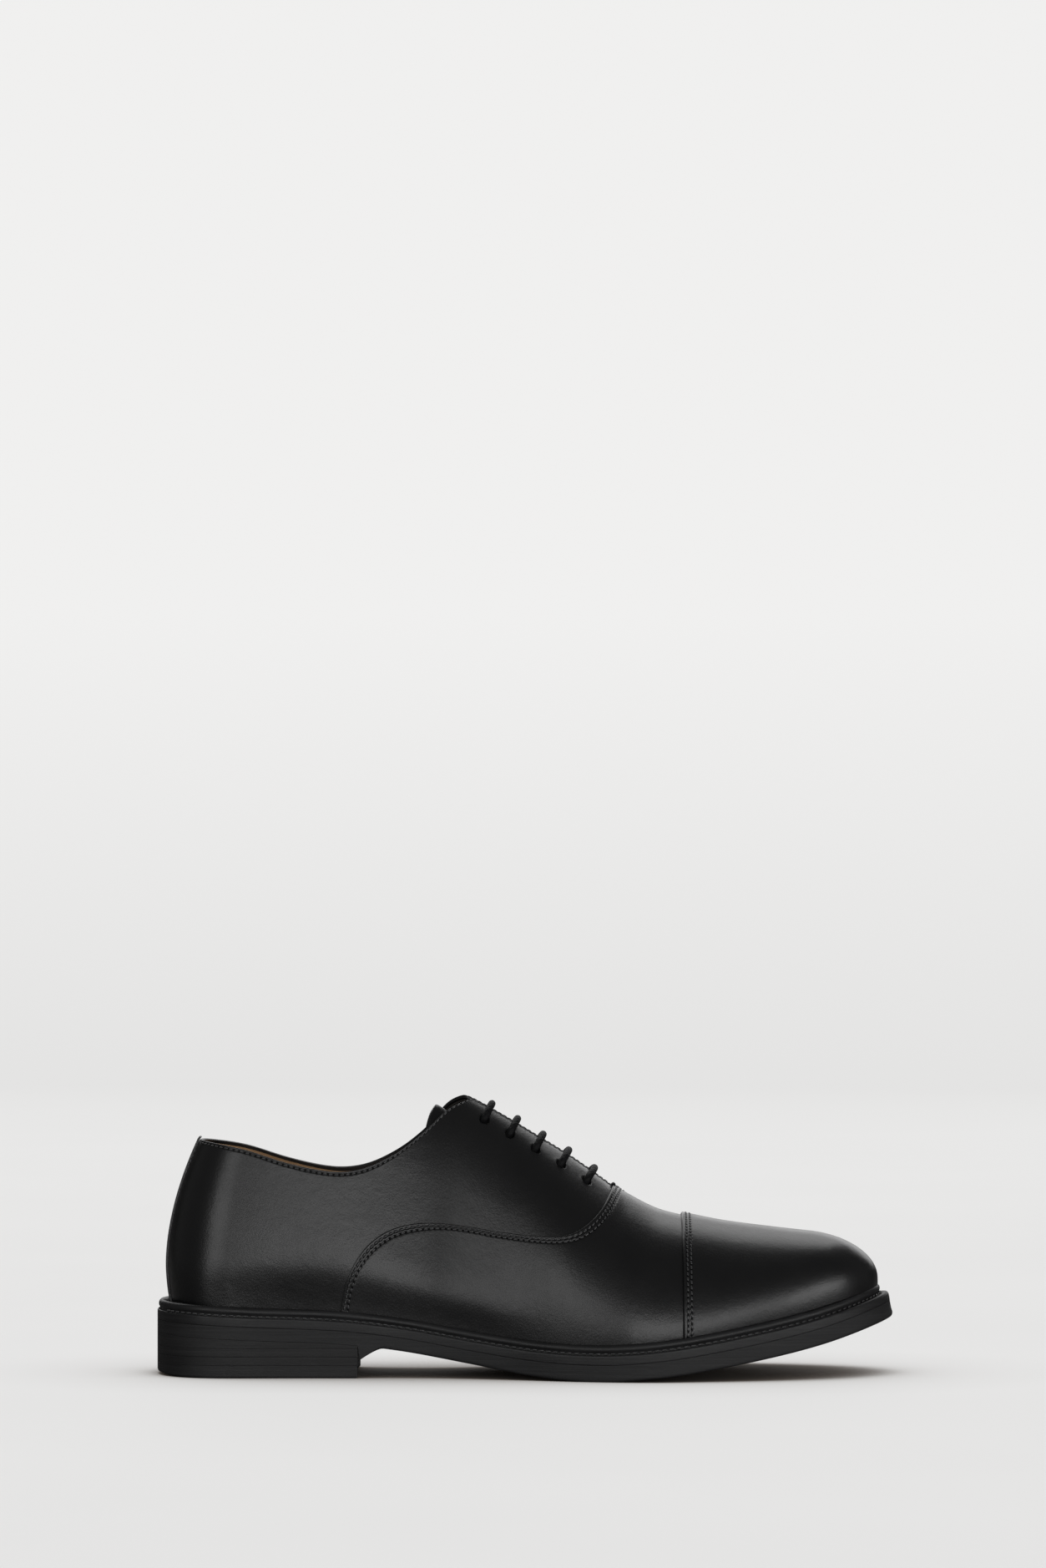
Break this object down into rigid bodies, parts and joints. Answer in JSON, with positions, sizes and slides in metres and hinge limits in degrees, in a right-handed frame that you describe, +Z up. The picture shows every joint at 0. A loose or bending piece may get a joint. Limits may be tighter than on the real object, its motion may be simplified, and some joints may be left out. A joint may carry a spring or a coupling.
{
  "type": "leather oxford shoe",
  "caption": "Right-foot cap-toe oxford shoe in black leather: laced facings, tongue, welted sole, stacked heel; forefoot flexes at the ball and the tongue tilts into the opening.",
  "frame": {"origin": "centre of the heel top piece's ground face", "axes": "+X towards the toe along the length, +Y to the medial side of this right shoe, +Z up from the ground"},
  "size_m": [0.302, 0.1068, 0.1133],
  "materials": {
    "calf_black": "polished smooth calf leather, fine grain",
    "lining_tan": "matte tan lining leather",
    "insole_leather": "vegetable tanned leather, matte",
    "stiffener": "woven stiffener",
    "eyelet_metal": "black japanned",
    "waxed_cord": "braided waxed cotton cord",
    "lace_tip": "clear-coated black",
    "thread": "waxed polyester thread",
    "cork": "granulated cork paste",
    "steel": "tempered steel",
    "welt_black": "edge-inked welt strip, satin",
    "sole_black": "matte black, trimmed edge",
    "heel_stack": "edge-inked stacked leather, matte"
  },
  "bodies": {
    "shoe_back": {"vamp": "calf_black", "quarter_lateral": "calf_black", "quarter_medial": "calf_black", "back_strip": "calf_black", "vamp_lining": "lining_tan", "quarter_lining_lateral": "lining_tan", "quarter_lining_medial": "lining_tan", "heel_counter": "stiffener", "facing_stay_lateral": "stiffener", "facing_stay_medial": "stiffener", "blind_eyelets": "eyelet_metal", "lace": "waxed_cord", "lace_tips": "lace_tip", "bar_tack": "thread", "sock_lining": "lining_tan", "insole": "insole_leather", "insole_rib": "stiffener", "cork_filler": "cork", "shank": "steel", "welt": "welt_black", "welt_stitching": "thread", "outsole_rear": "sole_black", "heel_lift_upper": "heel_stack", "heel_lift_middle": "heel_stack", "heel_lift_lower": "heel_stack", "heel_top_piece": "sole_black", "heel_nails": "steel"},
    "forefoot": {"toe_cap": "calf_black", "toe_puff": "stiffener", "outsole_forepart": "sole_black"},
    "tongue_flap": {"tongue": "calf_black", "tongue_lining": "lining_tan"}
  },
  "joints": [
    {"name": "toe_flex", "type": "hinge", "parent": "shoe_back", "child": "forefoot", "pos_m": [0.1528, -0.0015, 0.0105], "axis": [-0.2401, -0.9708, 0], "range_deg": [0, 20], "deforming": ["vamp", "vamp_lining", "welt", "welt_stitching", "insole", "insole_rib", "cork_filler", "sock_lining"]},
    {"name": "tongue_tilt", "type": "hinge", "parent": "shoe_back", "child": "tongue_flap", "pos_m": [0.1413, 0, 0.073], "axis": [0, -1, 0], "range_deg": [0, 12]}
  ]
}
